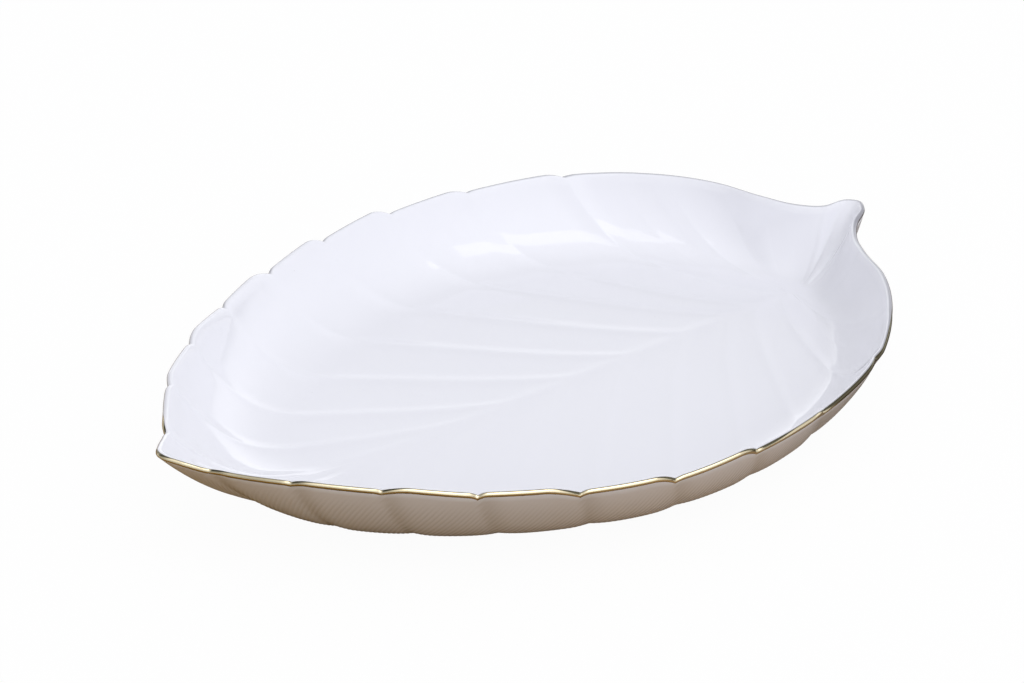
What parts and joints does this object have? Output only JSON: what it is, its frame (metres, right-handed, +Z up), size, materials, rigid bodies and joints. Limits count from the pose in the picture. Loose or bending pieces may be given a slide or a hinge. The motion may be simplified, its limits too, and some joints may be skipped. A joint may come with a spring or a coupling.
{
  "type": "leaf shaped plate",
  "caption": "Shallow leaf shaped serving dish in white glazed ceramic, with scalloped lobes, moulded veins, a short stem, a raised tip, a foot ring and a fired gold line on its lip.",
  "frame": {"origin": "centre of the dish's outline in plan, on the plane that its foot ring stands on", "axes": "+X along the midrib towards the stem, +Y across the leaf, +Z up out of the well"},
  "size_m": [0.255, 0.1748, 0.0345],
  "materials": {
    "white_glaze": "clear gloss glaze over a white body",
    "gilt": "bright fired gold"
  },
  "bodies": {
    "root": {"leaf_body": "white_glaze", "gilt_rim": "gilt"}
  },
  "joints": []
}
